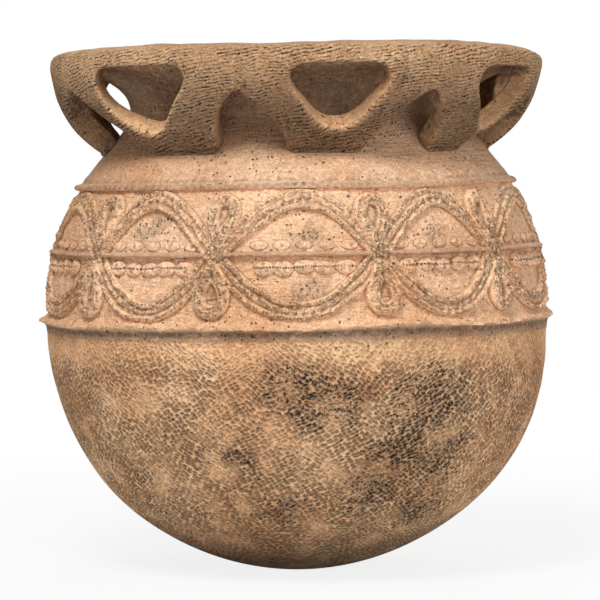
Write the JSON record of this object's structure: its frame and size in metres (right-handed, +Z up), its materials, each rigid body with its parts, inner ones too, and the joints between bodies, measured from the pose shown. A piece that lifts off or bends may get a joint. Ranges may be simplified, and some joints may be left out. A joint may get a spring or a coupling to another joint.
{
  "type": "clay pot",
  "caption": "Round-bottomed fired clay pot with a pinched neck, an openwork collar of straps under the lip, and applied cord loops and pellets round the shoulder.",
  "frame": {"origin": "middle of the flattened foot, on the ground", "axes": "+Z up along the pot's axis, -Y towards the front of the picture, +X to its right"},
  "size_m": [0.3602, 0.3602, 0.363],
  "materials": {
    "bowl_clay": "matte",
    "band_clay": "matte",
    "rim_clay": "matte"
  },
  "bodies": {
    "root": {"base_bowl": "bowl_clay", "shoulder_wall": "band_clay", "neck_wall": "band_clay", "lower_flange": "band_clay", "upper_fillet": "band_clay", "cord_oval_01": "band_clay", "cord_oval_02": "band_clay", "cord_oval_03": "band_clay", "cord_oval_04": "band_clay", "cord_oval_05": "band_clay", "cord_oval_06": "band_clay", "cord_oval_07": "band_clay", "cord_oval_08": "band_clay", "cord_oval_09": "band_clay", "cord_oval_10": "band_clay", "upper_loop_01": "band_clay", "upper_loop_02": "band_clay", "upper_loop_03": "band_clay", "upper_loop_04": "band_clay", "upper_loop_05": "band_clay", "upper_loop_06": "band_clay", "upper_loop_07": "band_clay", "upper_loop_08": "band_clay", "upper_loop_09": "band_clay", "upper_loop_10": "band_clay", "lower_loop_01": "band_clay", "lower_loop_02": "band_clay", "lower_loop_03": "band_clay", "lower_loop_04": "band_clay", "lower_loop_05": "band_clay", "lower_loop_06": "band_clay", "lower_loop_07": "band_clay", "lower_loop_08": "band_clay", "lower_loop_09": "band_clay", "lower_loop_10": "band_clay", "bead_fillet_01": "band_clay", "bead_fillet_02": "band_clay", "bead_fillet_03": "band_clay", "bead_fillet_04": "band_clay", "bead_fillet_05": "band_clay", "bead_fillet_06": "band_clay", "bead_fillet_07": "band_clay", "bead_fillet_08": "band_clay", "bead_fillet_09": "band_clay", "bead_fillet_10": "band_clay", "mouth_flare": "rim_clay", "lip_ring": "rim_clay", "rim_strap_01": "rim_clay", "rim_strap_02": "rim_clay", "rim_strap_03": "rim_clay", "rim_strap_04": "rim_clay", "rim_strap_05": "rim_clay", "rim_strap_06": "rim_clay", "rim_strap_07": "rim_clay"}
  },
  "joints": []
}
